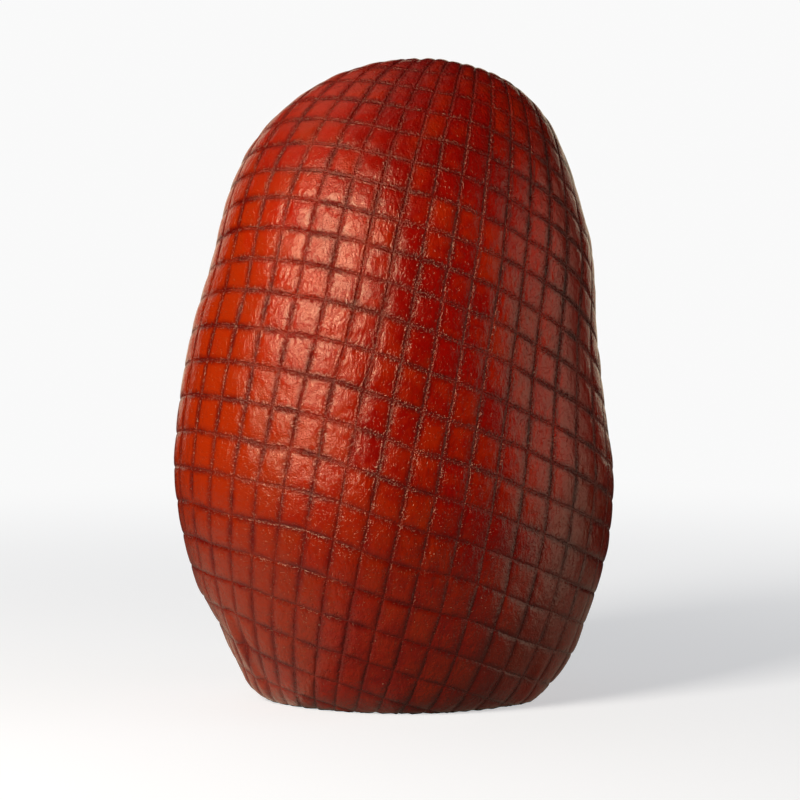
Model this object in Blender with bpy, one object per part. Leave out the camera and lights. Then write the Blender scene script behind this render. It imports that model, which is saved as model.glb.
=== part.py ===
"""A whole boneless smoked ham, one solid standing on its broad end.

The body is a stack of ovals, widest a third of the way up. It was cooked in a net, whose cords
pressed a grid of grooves into the skin and left a pillow in each mesh of the net. The net was
drawn on askew, so its columns lean to the right and its rings slope down to the right.

Metres, +Z up. The front faces -Y, and the origin is under the middle of the part's box.
"""

import math

import bmesh
import bpy
import numpy as np

# The body
HEIGHT = 0.2696
HALF_WIDTH = 0.0934
DEPTH_RATIO = 0.85
WIDEST_HEIGHT = 0.0965
TAPER = 0.0272
TAPER_POWER = 1.2
CROWN_POWER = 6.75
CROWN_ROUNDNESS = 2.07
CROWN_THINNING = 0.4
CROWN_THINNING_POWER = 4.5
LOWER_LENGTH = 0.1224
SOLE_EDGE = 0.010
SOLE_TUCK = 0.003
SOLE_DROP = 0.002

# How the middle line of the body wanders from bottom to top
LEAN_LEFT = -0.0032
LEAN_BOTTOM = 0.0038
LEAN_BOTTOM_BELOW = 0.120
LEAN_TOP = 0.0127
LEAN_TOP_ABOVE = 0.130
LEAN_FORWARD = -0.006
SHOULDER_SHIFT = 0.0027
SHOULDER_HEIGHT = 0.1853
SHOULDER_REACH = 0.0258

# The net: its axis, the point its meridians are measured from, and its meshes
HEART = np.array([0.0011, 0.0301, 0.1307])
AXIS_ROLL = math.radians(11.1)
AXIS_PITCH = math.radians(8.1)
RING_SLOPE_SIDE = -0.119
RING_SLOPE_FRONT = 0.157
COLUMNS = 46
ROWS = 30
EQUATOR_ROW = 14.84
FRONT_COLUMN = 2.34
FLANK_SPREAD = 1.02
FLANK_SPREAD_LOSS = 1.33
STEPS_PER_MESH = 2
GROOVE_DEPTH = 0.0012
GROOVE_FADE_RADIUS = 0.045
PILLOW_VARIATION = 0.25
SEED = 7

# Folds and dents: bearing from the front, half width in degrees, height, half height, depth
FOLDS = {
    "left fold": (-80, 14, 0.030, 0.011, -0.0026),
    "left lobe": (-72, 18, 0.005, 0.007, 0.0022),
    "right bulge": (80, 18, 0.018, 0.012, 0.0018),
    "right foot": (66, 16, 0.003, 0.006, 0.0020),
    "right valley": (41, 9, 0.143, 0.058, -0.0016),
}
LUMP = 0.0005

SKIN_COLOUR = (0.27, 0.030, 0.010, 1.0)
MERIDIANS = 120
MERIDIAN_POINTS = 181
LEVEL_STEP = 0.25
SPREAD_ROUNDS = 8
HALVINGS = 36


def clear_objects():
    """Remove what the scene starts with."""
    for item in list(bpy.data.objects):
        bpy.data.objects.remove(item, do_unlink=True)


def ramp(value):
    """0 below nought, 1 above one, straight between."""
    return np.clip(value, 0.0, 1.0)


def half_width(height):
    """Half the body's width at a height, side to side."""
    rise = ramp((height - WIDEST_HEIGHT) / (HEIGHT - WIDEST_HEIGHT))
    crown = (1.0 - rise**CROWN_POWER) ** (1.0 / CROWN_ROUNDNESS)
    upper = (HALF_WIDTH - TAPER * rise**TAPER_POWER) * crown
    drop = ramp((WIDEST_HEIGHT - height) / LOWER_LENGTH)
    tuck = SOLE_TUCK * (1.0 - ramp(height / SOLE_EDGE)) ** 2
    lower = HALF_WIDTH * np.sqrt(1.0 - drop**2) - tuck
    return np.where(height > WIDEST_HEIGHT, upper, lower)


def middle(height):
    """X and Y of the body's middle line at a height."""
    low = ramp((LEAN_BOTTOM_BELOW - height) / LEAN_BOTTOM_BELOW)
    high = ramp((height - LEAN_TOP_ABOVE) / (HEIGHT - LEAN_TOP_ABOVE))
    shoulder = SHOULDER_SHIFT * np.exp(-(((height - SHOULDER_HEIGHT) / SHOULDER_REACH) ** 2))
    return LEAN_LEFT + LEAN_BOTTOM * low**1.5 + LEAN_TOP * high**2.6 + shoulder, LEAN_FORWARD * low**2


def depth_ratio(height):
    """The body's depth for its width: the crown is thinner from front to back than the rest."""
    high = ramp((height - LEAN_TOP_ABOVE) / (HEIGHT - LEAN_TOP_ABOVE))
    return DEPTH_RATIO * (1.0 - CROWN_THINNING * high**CROWN_THINNING_POWER)


def bearing(points):
    """Angle round the body's middle line, 0 at the front and growing to the right."""
    x, y = middle(points[..., 2])
    return np.arctan2(points[..., 0] - x, (y - points[..., 1]) / depth_ratio(points[..., 2]))


def inside(points):
    """Whether each point lies in the body, before the net and the folds."""
    height = points[..., 2]
    x, y = middle(height)
    reach = half_width(np.clip(height, 0.0, HEIGHT))
    across = np.hypot(points[..., 0] - x, (points[..., 1] - y) / depth_ratio(height))
    return (across < reach) & (height > -SOLE_DROP) & (height < HEIGHT)


def distance_out(directions):
    """How far from the heart each direction leaves the body."""
    near = np.zeros(directions.shape[:-1])
    far = np.full(directions.shape[:-1], HEIGHT)
    for _ in range(HALVINGS):
        half = (near + far) / 2
        within = inside(HEART + directions * half[..., None])
        near = np.where(within, half, near)
        far = np.where(within, far, half)
    return near


def net_axes():
    """The net's own axis, and its right and its back, as unit vectors."""
    up = np.array([
        math.sin(AXIS_ROLL),
        math.cos(AXIS_ROLL) * math.sin(AXIS_PITCH),
        math.cos(AXIS_ROLL) * math.cos(AXIS_PITCH),
    ])
    right = np.cross([0.0, 1.0, 0.0], up)
    right /= np.linalg.norm(right)
    return right, np.cross(up, right), up


def directions(turn, climb):
    """Unit vectors at an angle round the net's axis and a climb towards its top gather."""
    right, back, up = net_axes()
    level = np.sin(turn)[..., None] * right - np.cos(turn)[..., None] * back
    return np.cos(climb)[..., None] * level + np.sin(climb)[..., None] * up


def turn_of(columns, rows):
    """The angle round the net's axis of each crossing. The meshes are wider on the flanks of the
    upper half than at the front and the back."""
    lower = ramp((rows - EQUATOR_ROW) / (ROWS - EQUATOR_ROW))
    spread = FLANK_SPREAD * (1.0 - FLANK_SPREAD_LOSS * lower)
    turn = math.tau * (columns - FRONT_COLUMN) / COLUMNS
    for _ in range(SPREAD_ROUNDS):
        turn = math.tau * (columns - FRONT_COLUMN - spread * np.sin(2 * turn)) / COLUMNS
    return turn


def climb_of(turn, rows):
    """The climb of each crossing: even steps along the skin from the top gather to the ring round
    the middle, and from there to the bottom gather. Read from a table of meridians."""
    angles = np.linspace(-math.pi, math.pi, MERIDIANS + 1)
    climbs = np.linspace(math.pi / 2, -math.pi / 2, MERIDIAN_POINTS)
    ways = directions(*np.meshgrid(angles, climbs))
    points = HEART + ways * distance_out(ways)[..., None]
    steps = np.linalg.norm(np.diff(points, axis=0), axis=2)
    travelled = np.vstack([np.zeros(MERIDIANS + 1), np.cumsum(steps, axis=0)])

    levels = np.arange(0.0, ROWS + LEVEL_STEP, LEVEL_STEP)
    table = np.zeros((len(levels), MERIDIANS + 1))
    for k, angle in enumerate(angles):
        tilt = RING_SLOPE_SIDE * math.sin(angle) + RING_SLOPE_FRONT * math.cos(angle)
        equator = np.interp(-math.atan(tilt), -climbs, travelled[:, k])
        wanted = np.interp(levels, [0.0, EQUATOR_ROW, ROWS], [0.0, equator, travelled[-1, k]])
        table[:, k] = np.interp(wanted, travelled[:, k], climbs)

    place = (turn / math.tau + 0.5) % 1.0 * MERIDIANS
    level = np.clip(rows / LEVEL_STEP, 0.0, len(levels) - 1.001)
    i, j = np.floor(level).astype(int), np.floor(place).astype(int)
    f, g = level - i, place - j
    above = table[i, j] * (1 - g) + table[i, j + 1] * g
    below = table[i + 1, j] * (1 - g) + table[i + 1, j + 1] * g
    return above * (1 - f) + below * f


def fold_offset(points):
    """How far the folds, dents and lumps push the skin out."""
    angle = bearing(points)
    height = points[..., 2]
    offset = LUMP * np.sin(2 * angle + 0.9) * np.sin(height / 0.021 + 1.5 * np.sin(angle))
    for place, spread, level, reach, depth in FOLDS.values():
        across = (angle - math.radians(place)) / math.radians(spread)
        along = (height - level) / reach
        offset = offset + depth * np.exp(-(across**2) - along**2)
    return offset


def groove_offset(column_step, row_step, axis_distance):
    """How far the net presses the skin in: grooves on the cords, a pillow between them."""
    rng = np.random.default_rng(SEED)
    fullness = 1.0 + PILLOW_VARIATION * (rng.random((COLUMNS, ROWS + 1)) - 0.5)
    on_cord = (column_step % STEPS_PER_MESH == 0) | (row_step % STEPS_PER_MESH == 0)
    mesh_of_net = fullness[column_step // STEPS_PER_MESH % COLUMNS, row_step // STEPS_PER_MESH]
    fade = ramp(axis_distance / GROOVE_FADE_RADIUS)
    return -GROOVE_DEPTH * fade * np.where(on_cord, 1.0, 1.0 - mesh_of_net)


def shape_ham(points):
    """Move the vertices of a unit ball, given as points, to the ham's skin."""
    column_steps = COLUMNS * STEPS_PER_MESH
    row_steps = ROWS * STEPS_PER_MESH
    longitude = np.arctan2(points[:, 1], points[:, 0])
    latitude = np.arcsin(np.clip(points[:, 2], -1.0, 1.0))
    column_step = np.rint(longitude / math.tau * column_steps).astype(int) % column_steps
    row_step = np.rint((0.5 - latitude / math.pi) * row_steps).astype(int)

    turn = turn_of(column_step / STEPS_PER_MESH, row_step / STEPS_PER_MESH)
    climb = climb_of(turn, row_step / STEPS_PER_MESH)
    ways = directions(turn, climb)
    distance = distance_out(ways)
    axis_distance = distance * np.cos(climb)
    skin = HEART + ways * distance[:, None]
    offset = fold_offset(skin) + groove_offset(column_step, row_step, axis_distance)
    skin = skin + ways * offset[:, None]
    skin[:, 2] = np.maximum(skin[:, 2], 0.0)
    box_middle = (skin.min(axis=0) + skin.max(axis=0)) / 2
    skin[:, :2] -= box_middle[:2]
    return skin


def skin_material():
    """Red-brown smoked skin with a moist shine."""
    material = bpy.data.materials.new("smoked_skin")
    material.use_nodes = True
    shader = material.node_tree.nodes["Principled BSDF"]
    shader.inputs["Base Color"].default_value = SKIN_COLOUR
    shader.inputs["Roughness"].default_value = 0.42
    shader.inputs["Metallic"].default_value = 0.0
    return material


def make_ham(collection):
    """The ham: a ball with two segments to each mesh of the net, shaped to the skin."""
    ball = bmesh.new()
    bmesh.ops.create_uvsphere(
        ball, u_segments=COLUMNS * STEPS_PER_MESH, v_segments=ROWS * STEPS_PER_MESH, radius=1.0
    )
    shaped = shape_ham(np.array([vertex.co[:] for vertex in ball.verts]))
    for vertex, place in zip(ball.verts, shaped):
        vertex.co = place
    bmesh.ops.recalc_face_normals(ball, faces=ball.faces)
    mesh = bpy.data.meshes.new("ham")
    ball.to_mesh(mesh)
    ball.free()
    mesh.shade_smooth()
    ham = bpy.data.objects.new("ham", mesh)
    ham.data.materials.append(skin_material())
    collection.objects.link(ham)
    return ham


def main():
    clear_objects()
    collection = bpy.data.collections.new("smoked_ham")
    bpy.context.scene.collection.children.link(collection)
    make_ham(collection)


main()
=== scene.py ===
"""Looks of the smoked ham: its netted skin as one fine mesh, the smoked-skin material, a plain studio.

The skin follows the same rule as the solid in the frame: a stack of ovals, with the net's columns and
rings laid over it. Each mesh of the net gets several samples each way, closer together at the cords,
so that the grooves and the pillows between them are real relief. Metres throughout.
"""

import math

import bpy
import numpy as np
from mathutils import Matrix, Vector


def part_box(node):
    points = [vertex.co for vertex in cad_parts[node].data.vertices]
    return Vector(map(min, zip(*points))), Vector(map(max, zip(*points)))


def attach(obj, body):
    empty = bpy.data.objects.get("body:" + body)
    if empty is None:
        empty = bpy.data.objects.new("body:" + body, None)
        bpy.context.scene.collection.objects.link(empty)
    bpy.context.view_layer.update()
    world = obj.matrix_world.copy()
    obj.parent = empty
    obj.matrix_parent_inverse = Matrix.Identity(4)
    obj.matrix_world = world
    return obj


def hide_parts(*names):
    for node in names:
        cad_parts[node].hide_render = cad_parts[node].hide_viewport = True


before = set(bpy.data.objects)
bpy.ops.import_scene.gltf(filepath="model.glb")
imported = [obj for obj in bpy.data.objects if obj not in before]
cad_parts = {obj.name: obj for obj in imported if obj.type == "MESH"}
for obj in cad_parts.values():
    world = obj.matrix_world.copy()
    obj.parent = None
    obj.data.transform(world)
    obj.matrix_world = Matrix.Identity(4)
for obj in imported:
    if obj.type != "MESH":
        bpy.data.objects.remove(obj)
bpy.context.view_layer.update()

LOW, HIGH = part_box("ham")

# The body, as in the solid
HEIGHT = 0.2696
HALF_WIDTH = 0.0934
DEPTH_RATIO = 0.85
WIDEST_HEIGHT = 0.0965
TAPER = 0.0272
TAPER_POWER = 1.2
CROWN_POWER = 6.75
CROWN_ROUNDNESS = 2.07
CROWN_THINNING = 0.4
CROWN_THINNING_POWER = 4.5
LOWER_LENGTH = 0.1224
SOLE_EDGE = 0.010
SOLE_TUCK = 0.003
SOLE_DROP = 0.0003

# How the middle line of the body wanders from bottom to top
LEAN_LEFT = -0.0032
LEAN_BOTTOM = 0.0038
LEAN_BOTTOM_BELOW = 0.120
LEAN_BOTTOM_POWER = 1.5
LEAN_TOP = 0.0127
LEAN_TOP_ABOVE = 0.130
LEAN_TOP_POWER = 2.6
LEAN_FORWARD = -0.006
SHOULDER_SHIFT = 0.0027
SHOULDER_HEIGHT = 0.1853
SHOULDER_REACH = 0.0258

# The net, as in the solid
HEART = np.array([0.0011, 0.0301, 0.1307])
AXIS_ROLL = math.radians(11.1)
AXIS_PITCH = math.radians(8.1)
RING_SLOPE_SIDE = -0.119
RING_SLOPE_FRONT = 0.157
COLUMNS = 46
ROWS = 30
EQUATOR_ROW = 14.84
FRONT_COLUMN = 2.34
FLANK_SPREAD = 1.02
FLANK_SPREAD_LOSS = 1.33

# Where the samples lie in one mesh of the net, as fractions from cord to cord, either way
MESH_SAMPLES = np.array([0.0, 0.065, 0.125, 0.30, 0.50, 0.70, 0.875, 0.935])

# The net's imprint. Pillows in meshes narrower than the full mesh are lower.
FULL_MESH = 0.0118
GROOVE_DEPTH = 0.00034
GROOVE_WIDTH = 0.0008
PILLOW_HEIGHT = 0.00034
PILLOW_VARIATION = 1.2
PILLOW_TILT = 0.00040
TILT_SPAN = 2
FADE_RADIUS = 0.030
STEADY_ROWS = 3.0
WANDER = 0.022
SWAY = 0.08
SWAY_SPAN = 3
SEED = 7

# Folds and dents: bearing from the front, half width in degrees, height, half height, depth
FOLDS = {
    "left fold": (-80, 14, 0.030, 0.011, -0.0026),
    "left lobe": (-72, 18, 0.005, 0.007, 0.0022),
    "right bulge": (80, 18, 0.018, 0.012, 0.0018),
    "right foot": (66, 16, 0.003, 0.006, 0.0020),
    "right valley": (41, 9, 0.143, 0.058, -0.0016),
    "left crease": (-57, 2.2, 0.026, 0.016, -0.0012),
    "left crease lip": (-61, 2.6, 0.024, 0.016, 0.0008),
    "right crease": (50, 2.2, 0.014, 0.010, -0.0011),
    "right crease lip": (54, 2.6, 0.015, 0.011, 0.0009),
}

# Low lumps all over: height, where they start round the ham, their spacing up it, and their slant
LUMP = 0.0005
LUMP_START = 0.9
LUMP_SPACING = 0.021
LUMP_SLANT = 1.5

# How finely the net is worked out
MERIDIANS = 184
MERIDIAN_POINTS = 241
LEVEL_STEP = 0.125
SPREAD_ROUNDS = 8
HALVINGS = 34

# The studio
PALE = 0.95
DIM = 0.01
WARM = (1.0, 0.83, 0.60)
KEY_COLOUR = (1.0, 0.74, 0.44)

# Lights aimed at the ham: azimuth, elevation, distance, width, height, power, colour
SOFTBOXES = {
    "key": (-42, 26, 1.3, 0.42, 0.60, 25.0, KEY_COLOUR),
    "fill": (84, 2, 1.3, 0.85, 1.40, 5.6, WARM),
    "rim": (180, 10, 1.3, 1.60, 0.60, 3.0, WARM),
    "top": (-135, 60, 1.2, 0.90, 0.70, 1.0, WARM),
}

# Lights lying just above the floor and facing up, as a lit floor does: x, y, side, power
FLOOR_CARDS = {
    "left floor card": (-0.17, -0.02, 0.26, 0.12),
    "near floor card": (0.0, -0.02, 0.46, 0.12),
    "far floor card": (-0.40, 0.0, 0.8, 0.20),
}
CARD_HEIGHT = 0.0005

# The floor: its colour fades to black and its glow grows from the first distance to the second
FLOOR_RADIUS = 6.0
FLOOR_COLOUR = (0.46, 0.60, 0.95, 1.0)
FLOOR_FADE = (0.1, 1.0)
FLOOR_GLOW = (0.55, 1.0)

# The camera
CAMERA_DISTANCE = 1.10
CAMERA_ELEVATION = math.radians(3.5)
CAMERA_FRAME = 0.3394
SENSOR = 0.036
AIM = Vector((0.0025, 0.0, 0.1251))


# ---------------------------------------------------------------- the skin's shape


def ramp(value):
    """0 below nought, 1 above one, straight between."""
    return np.clip(value, 0.0, 1.0)


def ease(value):
    """0 below nought, 1 above one, with soft ends."""
    t = ramp(value)
    return t * t * (3.0 - 2.0 * t)


def half_width(height):
    """Half the body's width at a height, side to side."""
    rise = ramp((height - WIDEST_HEIGHT) / (HEIGHT - WIDEST_HEIGHT))
    crown = (1.0 - rise**CROWN_POWER) ** (1.0 / CROWN_ROUNDNESS)
    upper = (HALF_WIDTH - TAPER * rise**TAPER_POWER) * crown
    drop = ramp((WIDEST_HEIGHT - height) / LOWER_LENGTH)
    tuck = SOLE_TUCK * (1.0 - ramp(height / SOLE_EDGE)) ** 2
    lower = HALF_WIDTH * np.sqrt(1.0 - drop**2) - tuck
    return np.where(height > WIDEST_HEIGHT, upper, lower)


def middle(height):
    """X and Y of the body's middle line at a height."""
    low = ramp((LEAN_BOTTOM_BELOW - height) / LEAN_BOTTOM_BELOW)
    high = ramp((height - LEAN_TOP_ABOVE) / (HEIGHT - LEAN_TOP_ABOVE))
    shoulder = SHOULDER_SHIFT * np.exp(-(((height - SHOULDER_HEIGHT) / SHOULDER_REACH) ** 2))
    sideways = LEAN_LEFT + LEAN_BOTTOM * low**LEAN_BOTTOM_POWER + LEAN_TOP * high**LEAN_TOP_POWER + shoulder
    return sideways, LEAN_FORWARD * low**2


def depth_ratio(height):
    """The body's depth for its width: the crown is thinner from front to back than the rest."""
    high = ramp((height - LEAN_TOP_ABOVE) / (HEIGHT - LEAN_TOP_ABOVE))
    return DEPTH_RATIO * (1.0 - CROWN_THINNING * high**CROWN_THINNING_POWER)


def bearing(points):
    """Angle round the body's middle line, 0 at the front and growing to the right."""
    x, y = middle(points[..., 2])
    return np.arctan2(points[..., 0] - x, (y - points[..., 1]) / depth_ratio(points[..., 2]))


def inside(points):
    """Whether each point lies in the body, before the net and the folds."""
    height = points[..., 2]
    x, y = middle(height)
    reach = half_width(np.clip(height, 0.0, HEIGHT))
    across = np.hypot(points[..., 0] - x, (points[..., 1] - y) / depth_ratio(height))
    return (across < reach) & (height > -SOLE_DROP) & (height < HEIGHT)


def distance_out(ways):
    """How far from the heart each direction leaves the body."""
    near = np.zeros(ways.shape[:-1])
    far = np.full(ways.shape[:-1], HEIGHT)
    for _ in range(HALVINGS):
        half = (near + far) / 2
        within = inside(HEART + ways * half[..., None])
        near = np.where(within, half, near)
        far = np.where(within, far, half)
    return near


def directions(turn, climb):
    """Unit vectors at an angle round the net's axis and a climb towards its top gather."""
    up = np.array([
        math.sin(AXIS_ROLL),
        math.cos(AXIS_ROLL) * math.sin(AXIS_PITCH),
        math.cos(AXIS_ROLL) * math.cos(AXIS_PITCH),
    ])
    right = np.cross([0.0, 1.0, 0.0], up)
    right /= np.linalg.norm(right)
    back = np.cross(up, right)
    level = np.sin(turn)[..., None] * right - np.cos(turn)[..., None] * back
    return np.cos(climb)[..., None] * level + np.sin(climb)[..., None] * up


def grid_noise(columns, rows, span, rng):
    """Smooth random values between -1 and 1, one at every span-th crossing of the net."""
    around, down = COLUMNS // span, ROWS // span + 2
    values = rng.uniform(-1.0, 1.0, (down, around))
    u, v = columns / COLUMNS * around, rows / span
    i, j = np.floor(v).astype(int), np.floor(u).astype(int)
    f, g = ease(v - i), ease(u - j)
    above = values[i, j % around] * (1 - g) + values[i, (j + 1) % around] * g
    below = values[i + 1, j % around] * (1 - g) + values[i + 1, (j + 1) % around] * g
    return above * (1 - f) + below * f


def wander(columns, rows, rng):
    """How far each cord strays, in meshes: a slow sway, and a little at every crossing."""
    near_gather = ramp(np.minimum(rows, ROWS - rows) / STEADY_ROWS)
    sway = SWAY * grid_noise(columns, rows, SWAY_SPAN, rng)
    return near_gather * (sway + WANDER * grid_noise(columns, rows, 1, rng))


def turn_of(columns, rows):
    """The angle round the net's axis of each crossing. The meshes are wider on the flanks of the
    upper half than at the front and the back."""
    lower = ramp((rows - EQUATOR_ROW) / (ROWS - EQUATOR_ROW))
    spread = FLANK_SPREAD * (1.0 - FLANK_SPREAD_LOSS * lower)
    turn = math.tau * (columns - FRONT_COLUMN) / COLUMNS
    for _ in range(SPREAD_ROUNDS):
        turn = math.tau * (columns - FRONT_COLUMN - spread * np.sin(2 * turn)) / COLUMNS
    return turn


def climb_of(turn, rows):
    """The climb of each crossing: even steps along the skin from the top gather to the ring round
    the middle, and from there to the bottom gather. Read from a table of meridians."""
    angles = np.linspace(-math.pi, math.pi, MERIDIANS + 1)
    climbs = np.linspace(math.pi / 2, -math.pi / 2, MERIDIAN_POINTS)
    ways = directions(*np.meshgrid(angles, climbs))
    points = HEART + ways * distance_out(ways)[..., None]
    steps = np.linalg.norm(np.diff(points, axis=0), axis=2)
    travelled = np.vstack([np.zeros(MERIDIANS + 1), np.cumsum(steps, axis=0)])

    levels = np.arange(0.0, ROWS + LEVEL_STEP, LEVEL_STEP)
    table = np.zeros((len(levels), MERIDIANS + 1))
    for k, angle in enumerate(angles):
        tilt = RING_SLOPE_SIDE * math.sin(angle) + RING_SLOPE_FRONT * math.cos(angle)
        equator = np.interp(-math.atan(tilt), -climbs, travelled[:, k])
        wanted = np.interp(levels, [0.0, EQUATOR_ROW, ROWS], [0.0, equator, travelled[-1, k]])
        table[:, k] = np.interp(wanted, travelled[:, k], climbs)

    place = (turn / math.tau + 0.5) % 1.0 * MERIDIANS
    level = np.clip(rows / LEVEL_STEP, 0.0, len(levels) - 1.001)
    i, j = np.floor(level).astype(int), np.floor(place).astype(int)
    f, g = level - i, place - j
    above = table[i, j] * (1 - g) + table[i, j + 1] * g
    below = table[i + 1, j] * (1 - g) + table[i + 1, j + 1] * g
    return above * (1 - f) + below * f


def fold_offset(points):
    """How far the folds, dents and lumps push the skin out."""
    angle = bearing(points)
    height = points[..., 2]
    slant = LUMP_SLANT * np.sin(angle)
    offset = LUMP * np.sin(2 * angle + LUMP_START) * np.sin(height / LUMP_SPACING + slant)
    for place, spread, level, reach, depth in FOLDS.values():
        across = (angle - math.radians(place)) / math.radians(spread)
        along = (height - level) / reach
        offset = offset + depth * np.exp(-(across**2) - along**2)
    return offset


def cord_print(distance):
    """How deep a cord has pressed at a distance from its middle."""
    return GROOVE_DEPTH * np.exp(-((distance / GROOVE_WIDTH) ** 2))


def net_offset(columns, rows, width, height, rng):
    """The net's relief: its grooves, and a pillow of its own fullness in each mesh."""
    f, g = columns % 1.0, rows % 1.0
    across = np.minimum(f, 1 - f) * width
    along = np.minimum(g, 1 - g) * height
    groove = np.maximum(cord_print(across), cord_print(along))
    fullness = 1.0 + PILLOW_VARIATION * (rng.random((COLUMNS, ROWS)) - 0.5)
    fullness = fullness[np.floor(columns).astype(int) % COLUMNS,
                        np.minimum(np.floor(rows).astype(int), ROWS - 1)]
    swell = (1 - np.abs(2 * f - 1) ** 2) * (1 - np.abs(2 * g - 1) ** 2)
    tilt_across = (2 * f - 1) * grid_noise(columns, rows, TILT_SPAN, rng)
    tilt_along = (2 * g - 1) * grid_noise(columns, rows, TILT_SPAN, rng)
    tilt = swell * (tilt_across + tilt_along)
    narrow = np.minimum(width, height) / FULL_MESH
    return narrow * (PILLOW_HEIGHT * fullness * swell + PILLOW_TILT * tilt) - PILLOW_HEIGHT - groove


def grid_normals(points):
    """Outward normals of a grid that closes on itself from side to side."""
    along_ring = np.roll(points, -1, axis=1) - np.roll(points, 1, axis=1)
    down = np.gradient(points, axis=0)
    normals = np.cross(down, along_ring)
    return normals / np.maximum(np.linalg.norm(normals, axis=2, keepdims=True), 1e-12)


def skin_grid():
    """The skin's points, ring by ring, with each sample's column, row and mesh size."""
    rng = np.random.default_rng(SEED)
    columns = (np.arange(COLUMNS)[:, None] + MESH_SAMPLES).ravel()
    rows = np.append((np.arange(ROWS)[:, None] + MESH_SAMPLES).ravel(), ROWS)[1:-1]
    columns, rows = np.meshgrid(columns, rows)
    turn = turn_of(columns + wander(columns, rows, rng), rows)
    climb = climb_of(turn, rows + wander(columns, rows, rng))
    ways = directions(turn, climb)
    base = HEART + ways * distance_out(ways)[..., None]

    ring_step = np.linalg.norm(np.roll(base, -1, axis=1) - np.roll(base, 1, axis=1), axis=2)
    column_step = (np.roll(columns, -1, axis=1) - np.roll(columns, 1, axis=1)) % COLUMNS
    width = ring_step / column_step
    height = np.linalg.norm(np.gradient(base, axis=0), axis=2) / np.gradient(rows, axis=0)

    axis_distance = np.linalg.norm(base - HEART, axis=2) * np.cos(climb)
    fade = ramp(axis_distance / FADE_RADIUS)
    offset = fold_offset(base) + fade * net_offset(columns, rows, width, height, rng)
    skin = base + grid_normals(base) * offset[..., None]
    skin[..., 2] = np.maximum(skin[..., 2], 0.0)
    return skin, columns, rows, width, height


def make_skin():
    """The ham's skin as one closed mesh: rings of samples, closed by a fan at each gather."""
    points, columns, rows, width, height = skin_grid()
    rings, round_count = rows.shape
    top = points[0].mean(axis=0)
    bottom = points[-1].mean(axis=0)
    bottom[2] = max(bottom[2], 0.0)
    vertices = np.vstack([points.reshape(-1, 3), top, bottom])
    low, high = vertices.min(axis=0), vertices.max(axis=0)
    vertices = np.array(LOW) + (vertices - low) / (high - low) * (np.array(HIGH) - np.array(LOW))

    index = np.arange(rings * round_count).reshape(rings, round_count)
    after = np.roll(index, -1, axis=1)
    quads = np.stack([index[:-1], index[1:], after[1:], after[:-1]], axis=-1).reshape(-1, 4)
    crown = [(rings * round_count, int(a), int(b)) for a, b in zip(index[0], after[0])]
    sole = [(rings * round_count + 1, int(b), int(a)) for a, b in zip(index[-1], after[-1])]

    mesh = bpy.data.meshes.new("ham_skin")
    mesh.from_pydata(vertices.tolist(), [], quads.tolist() + crown + sole)
    add_net_map(mesh, columns, rows, len(quads), round_count)
    add_values(mesh, "mesh_width", width)
    add_values(mesh, "mesh_height", height)
    mesh.shade_smooth()
    mesh.validate()
    skin = bpy.data.objects.new("ham_skin", mesh)
    bpy.context.scene.collection.objects.link(skin)
    return skin


def add_net_map(mesh, columns, rows, quad_count, round_count):
    """A UV map laid out by the net: across by column, up by row, with its seam at column nought."""
    across = np.append(columns[0], COLUMNS) / COLUMNS
    up = 1.0 - rows[:, 0] / ROWS
    left = np.arange(round_count)
    u = np.stack([across[left], across[left], across[left + 1], across[left + 1]], axis=-1)
    u = np.tile(u, (len(up) - 1, 1))
    v = np.stack([up[:-1], up[1:], up[1:], up[:-1]], axis=-1).repeat(round_count, axis=0)
    middle_u = (across[left] + across[left + 1]) / 2
    crown_u = np.stack([middle_u, across[left], across[left + 1]], axis=-1)
    crown_v = np.tile([1.0, up[0], up[0]], (round_count, 1))
    sole_u = np.stack([middle_u, across[left + 1], across[left]], axis=-1)
    sole_v = np.tile([0.0, up[-1], up[-1]], (round_count, 1))
    flat_u = np.concatenate([u.ravel(), crown_u.ravel(), sole_u.ravel()])
    flat_v = np.concatenate([v.ravel(), crown_v.ravel(), sole_v.ravel()])
    layer = mesh.uv_layers.new(name="OFBake")
    layer.data.foreach_set("uv", np.stack([flat_u, flat_v], axis=-1).ravel())


def add_values(mesh, name, grid):
    """One number for each vertex, for the material to read."""
    values = np.concatenate([grid.ravel(), [grid[0].mean(), grid[-1].mean()]])
    attribute = mesh.attributes.new(name, "FLOAT", "POINT")
    attribute.data.foreach_set("value", values)


# ---------------------------------------------------------------- the skin's material


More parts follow.
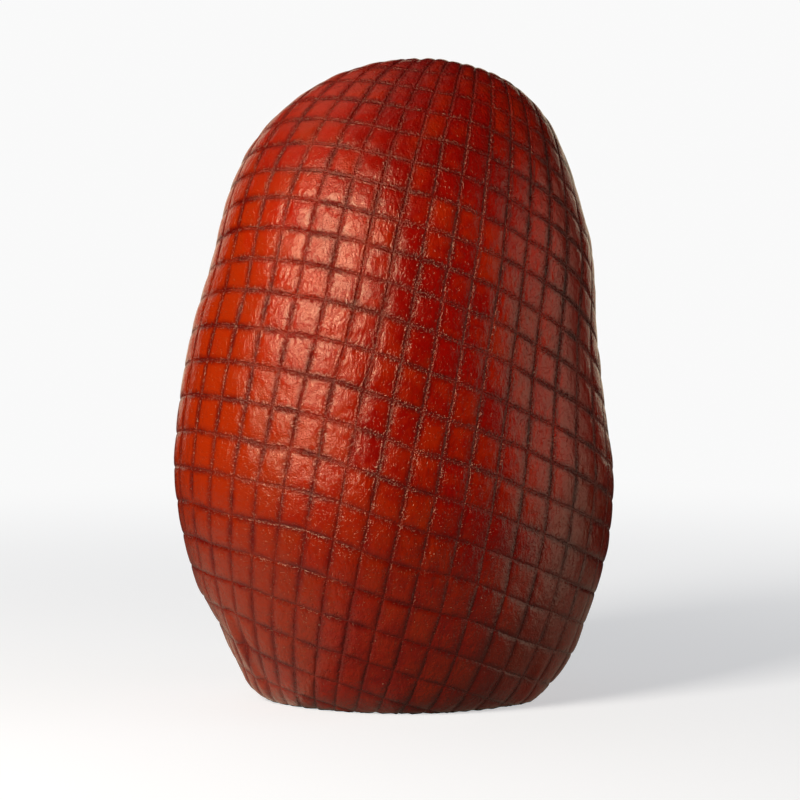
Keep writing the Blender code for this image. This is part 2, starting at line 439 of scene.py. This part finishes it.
class Nodes:
    """Short forms for making a material's nodes."""

    def __init__(self, material):
        material.use_nodes = True
        self.tree = material.node_tree
        self.shader = self.tree.nodes["Principled BSDF"]

    def add(self, kind, inputs=(), **settings):
        """A node with its settings, and its inputs linked or set by name or number."""
        node = self.tree.nodes.new(kind)
        for name, value in settings.items():
            setattr(node, name, value)
        for name, value in dict(inputs).items():
            self.put(node.inputs[name], value)
        return node

    def put(self, socket, value):
        if isinstance(value, bpy.types.NodeSocket):
            self.tree.links.new(value, socket)
        else:
            socket.default_value = value

    def math(self, operation, *values, clamp=False):
        node = self.add("ShaderNodeMath", enumerate(values), operation=operation, use_clamp=clamp)
        return node.outputs[0]

    def map(self, value, low, high, to_low=0.0, to_high=1.0, smooth=True):
        inputs = {"Value": value, "From Min": low, "From Max": high, "To Min": to_low, "To Max": to_high}
        kind = "SMOOTHSTEP" if smooth else "LINEAR"
        return self.add("ShaderNodeMapRange", inputs, interpolation_type=kind).outputs["Result"]

    def noise(self, vector, scale, detail=2.0, roughness=0.5):
        inputs = {"Vector": vector, "Scale": scale, "Detail": detail, "Roughness": roughness}
        return self.add("ShaderNodeTexNoise", inputs).outputs["Fac"]

    def spread(self, noise, half, to_low, to_high, smooth=True):
        """A noise's middle stretch, half either side of 0.5, run from one value to another."""
        return self.map(noise, 0.5 - half, 0.5 + half, to_low, to_high, smooth)

    def mix(self, factor, first, second):
        node = self.add("ShaderNodeMix", data_type="RGBA", blend_type="MIX")
        self.put(node.inputs[0], factor)
        self.put(node.inputs[6], first)
        self.put(node.inputs[7], second)
        return node.outputs[2]


CRIMSON = (0.235, 0.0020, 0.0002, 1.0)
# Scarlet: the colour of the painted light at the sides
PAINTED_LIGHT_SCARLET = (0.40, 0.0105, 0.0003, 1.0)
ORANGE = (0.325, 0.0225, 0.0008, 1.0)
# Painted shade: the soft dark rim round each mesh, next to its cords
RIM_SHADE = (0.11, 0.0012, 0.0004, 1.0)
# Painted shade in the cords' grooves
GROOVE_SHADE = (0.070, 0.0008, 0.0003, 1.0)
# Darker ends: towards the crown, and painted shade at the sole
DARK_CROWN_AND_SOLE_SHADE = (0.045, 0.0016, 0.0008, 1.0)

# Where the skin changes colour: from one place to another, and how much at each. The first and the
# last two go by height, the others by X. The scarlet at the left and on the right flank is painted light,
# the orange to the left is partly painted light, and the darkening at the sole is painted shade.
DOWNWARDS = (0.200, 0.060, 0.0, 0.38)
PAINTED_LIGHT_LEFT = (0.012, -0.038, 0.0, 1.0)
PAINTED_LIGHT_RIGHT = (0.030, 0.075, 0.0, 1.6)
ORANGE_AND_LIGHT_LEFT = (-0.010, -0.080, 0.0, 1.0)
DARKER_CROWN = (0.200, 0.240, 0.0, 0.22)
PAINTED_SHADE_SOLE = (0.110, 0.055, 0.0, 0.38)

# How uneven the colour is, from mesh to mesh, in patches and in blotches
CELL_CHANGE = 0.25
PATCH_CHANGE = 0.25
BLOTCH_CHANGE = 0.20

# The cords' marks: distances from a cord's middle, and how strongly the painted shade of the rims and the
# grooves darkens the skin
RAGGED = 0.0003
RIM_SHADE_REACH = (0.0002, 0.0032)
RIM_SHADE_STRENGTH = (0.45, 0.95)
BED_REACH = 0.0007
RING_LINE_AWAY = 0.0005
RING_LINE_REACH = (0.0001, 0.0004)
COLUMN_LINE_REACH = 0.0006
GROOVE_SHADE_STRENGTH = (0.10, 0.55)
UPPER_HEIGHTS = (0.050, 0.115)

# How rough the skin is, and how much rougher where a cord lay
SKIN_ROUGHNESS = (0.08, 0.19)
BED_ROUGHNESS = 0.14

# Relief finer than the mesh
GRAIN_REACH = (0.0005, 0.0018)
GRAIN_HEIGHT = 0.00050
WRINKLE_HEIGHT = 0.00040
DIMPLE_HEIGHT = 0.00050
PORE_HEIGHT = 0.00020
PIT_DEPTH = 0.00012
CREASE_REACH = 0.0008
CREASE_DEPTH = 0.00016

# The noises' scales, in features to the metre
PATCH_SCALE = 22.0
WRINKLED_SCALE = 60.0
RIM_SHADE_SCALE = 70.0
GROOVE_SHADE_SCALE = 90.0
BLOTCH_SCALE = 160.0
DIMPLE_SCALE = 230.0
GLOSS_SCALE = 300.0
RAGGED_SCALE = 650.0
WRINKLE_SCALE = 750.0
PIT_SCALE = 1100.0
PORE_SCALE = 1500.0


def skin_material():
    """Smoked skin: crimson to orange-brown, with painted light at the sides, painted shade round each mesh,
    along the cords and at the sole, darker at the crown, and a moist shine.
    """
    material = bpy.data.materials.new("smoked_skin")
    nodes = Nodes(material)
    place = nodes.add("ShaderNodeTexCoord").outputs["Object"]
    spot = nodes.add("ShaderNodeSeparateXYZ", {0: place})
    net = nodes.add("ShaderNodeUVMap", uv_map="OFBake").outputs[0]
    net = nodes.add("ShaderNodeSeparateXYZ", {0: net})
    column = nodes.math("MULTIPLY", net.outputs[0], float(COLUMNS))
    row = nodes.math("MULTIPLY", net.outputs[1], float(ROWS))
    upper = nodes.map(spot.outputs[2], *UPPER_HEIGHTS)

    from_column, from_ring = cord_distances(nodes, place, column, row)
    from_cord = nodes.math("MINIMUM", from_column, from_ring)
    bed = nodes.map(from_cord, 0.0, BED_REACH, 1.0, 0.0)
    colour = skin_colour_and_painted_light(nodes, place, spot, column, row)
    colour = painted_shade_at_cords(nodes, place, colour, from_column, from_ring, from_cord, bed, upper)
    nodes.put(nodes.shader.inputs["Base Color"], colour)

    gloss = nodes.spread(nodes.noise(place, GLOSS_SCALE, 3.0), 0.2, *SKIN_ROUGHNESS)
    gloss = nodes.math("ADD", gloss, nodes.math("MULTIPLY", bed, BED_ROUGHNESS))
    nodes.put(nodes.shader.inputs["Roughness"], gloss)
    nodes.shader.inputs["IOR"].default_value = 1.45

    relief = fine_relief(nodes, place, from_cord, upper)
    bump = nodes.add("ShaderNodeBump", {"Height": relief, "Distance": 1.0, "Strength": 1.0})
    nodes.put(nodes.shader.inputs["Normal"], bump.outputs[0])
    return material


def cord_distances(nodes, place, column, row):
    """How far each point is from the middle of the nearest column cord and ring cord, a little ragged."""
    width = nodes.add("ShaderNodeAttribute", attribute_name="mesh_width").outputs["Fac"]
    height = nodes.add("ShaderNodeAttribute", attribute_name="mesh_height").outputs["Fac"]
    from_column = nodes.math("MULTIPLY", nodes.math("PINGPONG", column, 0.5), width)
    from_ring = nodes.math("MULTIPLY", nodes.math("PINGPONG", row, 0.5), height)
    ragged = nodes.spread(nodes.noise(place, RAGGED_SCALE, 2.0), 0.2, -RAGGED, RAGGED, smooth=False)
    return nodes.math("ADD", from_column, ragged), nodes.math("ADD", from_ring, ragged)


def skin_colour_and_painted_light(nodes, place, spot, column, row):
    """Crimson at the front; scarlet at both sides as painted light, where the key light falls on the left
    and on the right flank; orange to the left, partly painted light, and downwards; darker towards the
    crown, and painted shade at the sole.
    """
    cell = nodes.add("ShaderNodeCombineXYZ", {0: nodes.math("FLOOR", column), 1: nodes.math("FLOOR", row)})
    cell = nodes.add("ShaderNodeTexWhiteNoise", {"Vector": cell.outputs[0]}).outputs["Value"]
    cell = nodes.map(cell, 0.0, 1.0, -CELL_CHANGE, CELL_CHANGE, smooth=False)
    patches = nodes.spread(nodes.noise(place, PATCH_SCALE, 3.0), 0.2, -PATCH_CHANGE, PATCH_CHANGE)
    blotches = nodes.noise(place, BLOTCH_SCALE, 4.0, 0.6)
    blotches = nodes.spread(blotches, 0.2, -BLOTCH_CHANGE, BLOTCH_CHANGE)
    uneven = nodes.math("ADD", nodes.math("ADD", patches, blotches), cell)

    # Painted light: scarlet where the key light falls on the left, and on the right flank, moved about by
    # the uneven tone
    painted_light_and_tone = nodes.map(spot.outputs[0], *PAINTED_LIGHT_LEFT)
    painted_light_and_tone = nodes.math("MAXIMUM", painted_light_and_tone, nodes.map(spot.outputs[0], *PAINTED_LIGHT_RIGHT))
    painted_light_and_tone = nodes.math("ADD", painted_light_and_tone, uneven, clamp=True)
    # Orange to the left: partly the skin's own colour, partly painted light from the left; orange downwards
    # too
    orange = nodes.math("ADD", nodes.map(spot.outputs[0], *ORANGE_AND_LIGHT_LEFT), uneven)
    orange = nodes.math("ADD", orange, nodes.map(spot.outputs[2], *DOWNWARDS), clamp=True)
    colour = nodes.mix(orange, nodes.mix(painted_light_and_tone, CRIMSON, PAINTED_LIGHT_SCARLET), ORANGE)

    # Darker towards the crown; the darkening at the sole is painted shade
    crown = nodes.map(spot.outputs[2], *DARKER_CROWN)
    sole = nodes.map(spot.outputs[2], *PAINTED_SHADE_SOLE)
    return nodes.mix(nodes.math("MAXIMUM", crown, sole), colour, DARK_CROWN_AND_SOLE_SHADE)


def painted_shade_at_cords(nodes, place, colour, from_column, from_ring, from_cord, bed, upper):
    """The colour with painted shade: a soft dark rim round each mesh and a dark line where each cord lay.
    High up the line is thinner, and the rings leave a pair of lines, one along each edge of the cord."""
    # Painted shade: a soft dark rim round each mesh, next to the cords
    rim = nodes.map(from_cord, *RIM_SHADE_REACH, 1.0, 0.0)
    rim_shade_strength = nodes.spread(nodes.noise(place, RIM_SHADE_SCALE, 2.0), 0.15, *RIM_SHADE_STRENGTH)
    colour = nodes.mix(nodes.math("MULTIPLY", rim, rim_shade_strength), colour, RIM_SHADE)

    # Painted shade: a dark line in each groove where a cord lay, and a pair of them along the edges of each
    # ring cord
    beside_ring = nodes.math("ABSOLUTE", nodes.math("SUBTRACT", from_ring, RING_LINE_AWAY))
    ring_line_shade = nodes.map(beside_ring, *RING_LINE_REACH, 1.0, 0.0)
    column_line_shade = nodes.map(from_column, 0.0, COLUMN_LINE_REACH, 1.0, 0.0)
    line = nodes.mix(upper, bed, nodes.math("MAXIMUM", column_line_shade, ring_line_shade))
    groove_shade_strength = nodes.spread(nodes.noise(place, GROOVE_SHADE_SCALE, 2.0), 0.15, *GROOVE_SHADE_STRENGTH)
    return nodes.mix(nodes.math("MULTIPLY", line, groove_shade_strength), colour, GROOVE_SHADE)


def fine_relief(nodes, place, from_cord, upper):
    """Grain beside the cords, upright wrinkles in places, dimples, pores, pits and a crease under
    each cord, added up in metres."""
    grain = nodes.map(from_cord, *GRAIN_REACH, 1.0, 0.03)
    grain = nodes.math("MULTIPLY", grain, upper)
    grain = nodes.math("MULTIPLY", nodes.noise(place, PORE_SCALE, 1.0), grain)
    upright = nodes.add("ShaderNodeMapping", {"Vector": place, "Scale": (1.0, 1.0, 0.35)}).outputs[0]
    wrinkled = nodes.spread(nodes.noise(place, WRINKLED_SCALE, 1.0), 0.15, 0.2, 1.0)
    wrinkles = nodes.math("MULTIPLY", nodes.noise(upright, WRINKLE_SCALE, 2.0), wrinkled)
    kinds = [
        (wrinkles, WRINKLE_HEIGHT),
        (nodes.noise(place, DIMPLE_SCALE, 1.0), DIMPLE_HEIGHT),
        (nodes.noise(place, PORE_SCALE, 2.0, 0.7), PORE_HEIGHT),
        (nodes.map(nodes.noise(place, PIT_SCALE, 1.0), 0.58, 0.72, 0.0, -1.0), PIT_DEPTH),
        (nodes.map(from_cord, 0.0, CREASE_REACH, -1.0, 0.0), CREASE_DEPTH),
    ]
    relief = nodes.math("MULTIPLY", grain, GRAIN_HEIGHT)
    for shape, height in kinds:
        relief = nodes.math("ADD", relief, nodes.math("MULTIPLY", shape, height))
    return relief


# ---------------------------------------------------------------- the studio


def softbox(name, azimuth, elevation, distance, width, height, power, colour):
    """A rectangular light aimed at the ham. Azimuth 0 is the camera's side, growing to the right."""
    light = bpy.data.lights.new(name, "AREA")
    light.shape = "RECTANGLE"
    light.size = width
    light.size_y = height
    light.energy = power
    light.color = colour
    box = bpy.data.objects.new(name, light)
    around, up = math.radians(azimuth), math.radians(elevation)
    way = Vector((math.sin(around) * math.cos(up), -math.cos(around) * math.cos(up), math.sin(up)))
    box.location = AIM + way * distance
    box.visible_camera = False
    box.rotation_euler = way.to_track_quat("Z", "Y").to_euler()
    bpy.context.scene.collection.objects.link(box)
    return box


def floor_card(name, x, y, size, power):
    """A square light lying just above the floor and facing up."""
    card = softbox(name, 0, 0, 1.0, size, size, power, WARM)
    card.location = (x, y, CARD_HEIGHT)
    card.rotation_euler = (math.pi, 0.0, 0.0)


def make_lights():
    for name, settings in SOFTBOXES.items():
        softbox(name, *settings)
    for name, settings in FLOOR_CARDS.items():
        floor_card(name, *settings)


def make_world():
    """A pale surround for the camera, and a dark one for light and reflections."""
    world = bpy.data.worlds.new("studio")
    bpy.context.scene.world = world
    world.use_nodes = True
    tree = world.node_tree
    background = tree.nodes["Background"]
    path = tree.nodes.new("ShaderNodeLightPath")
    blend = tree.nodes.new("ShaderNodeMix")
    blend.data_type = "RGBA"
    blend.inputs[6].default_value = (DIM, DIM, DIM, 1.0)
    blend.inputs[7].default_value = (PALE, PALE, PALE, 1.0)
    tree.links.new(path.outputs["Is Camera Ray"], blend.inputs[0])
    tree.links.new(blend.outputs[2], background.inputs["Color"])


def make_floor():
    """A pale floor that glows a little, so that it meets the surround without a horizon."""
    bpy.ops.mesh.primitive_circle_add(vertices=96, radius=FLOOR_RADIUS, fill_type="NGON")
    floor = bpy.context.object
    floor.name = "floor"
    material = bpy.data.materials.new("pale_floor")
    nodes = Nodes(material)
    nodes.shader.inputs["Roughness"].default_value = 1.0
    nodes.shader.inputs["Specular IOR Level"].default_value = 0.0
    nodes.shader.inputs["Emission Color"].default_value = (PALE, PALE, PALE, 1.0)
    place = nodes.add("ShaderNodeTexCoord").outputs["Object"]
    away = nodes.add("ShaderNodeVectorMath", {0: place}, operation="LENGTH").outputs["Value"]
    nodes.put(nodes.shader.inputs["Emission Strength"], nodes.map(away, *FLOOR_FADE, *FLOOR_GLOW))
    black = (0.0, 0.0, 0.0, 1.0)
    colour = nodes.mix(nodes.map(away, *FLOOR_FADE), FLOOR_COLOUR, black)
    nodes.put(nodes.shader.inputs["Base Color"], colour)
    floor.data.materials.append(material)
    floor.visible_diffuse = False
    floor.visible_glossy = False


def make_camera():
    data = bpy.data.cameras.new("camera")
    data.sensor_width = SENSOR * 1000
    data.lens = SENSOR * CAMERA_DISTANCE / CAMERA_FRAME * 1000
    camera = bpy.data.objects.new("camera", data)
    way = Vector((0.0, -math.cos(CAMERA_ELEVATION), math.sin(CAMERA_ELEVATION)))
    camera.location = AIM + way * CAMERA_DISTANCE
    camera.rotation_euler = way.to_track_quat("Z", "Y").to_euler()
    bpy.context.scene.collection.objects.link(camera)
    bpy.context.scene.camera = camera


skin = make_skin()
skin.data.materials.append(skin_material())
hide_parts("ham")
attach(skin, "root")

make_lights()
make_world()
make_floor()
make_camera()
bpy.context.scene.view_settings.view_transform = "Standard"
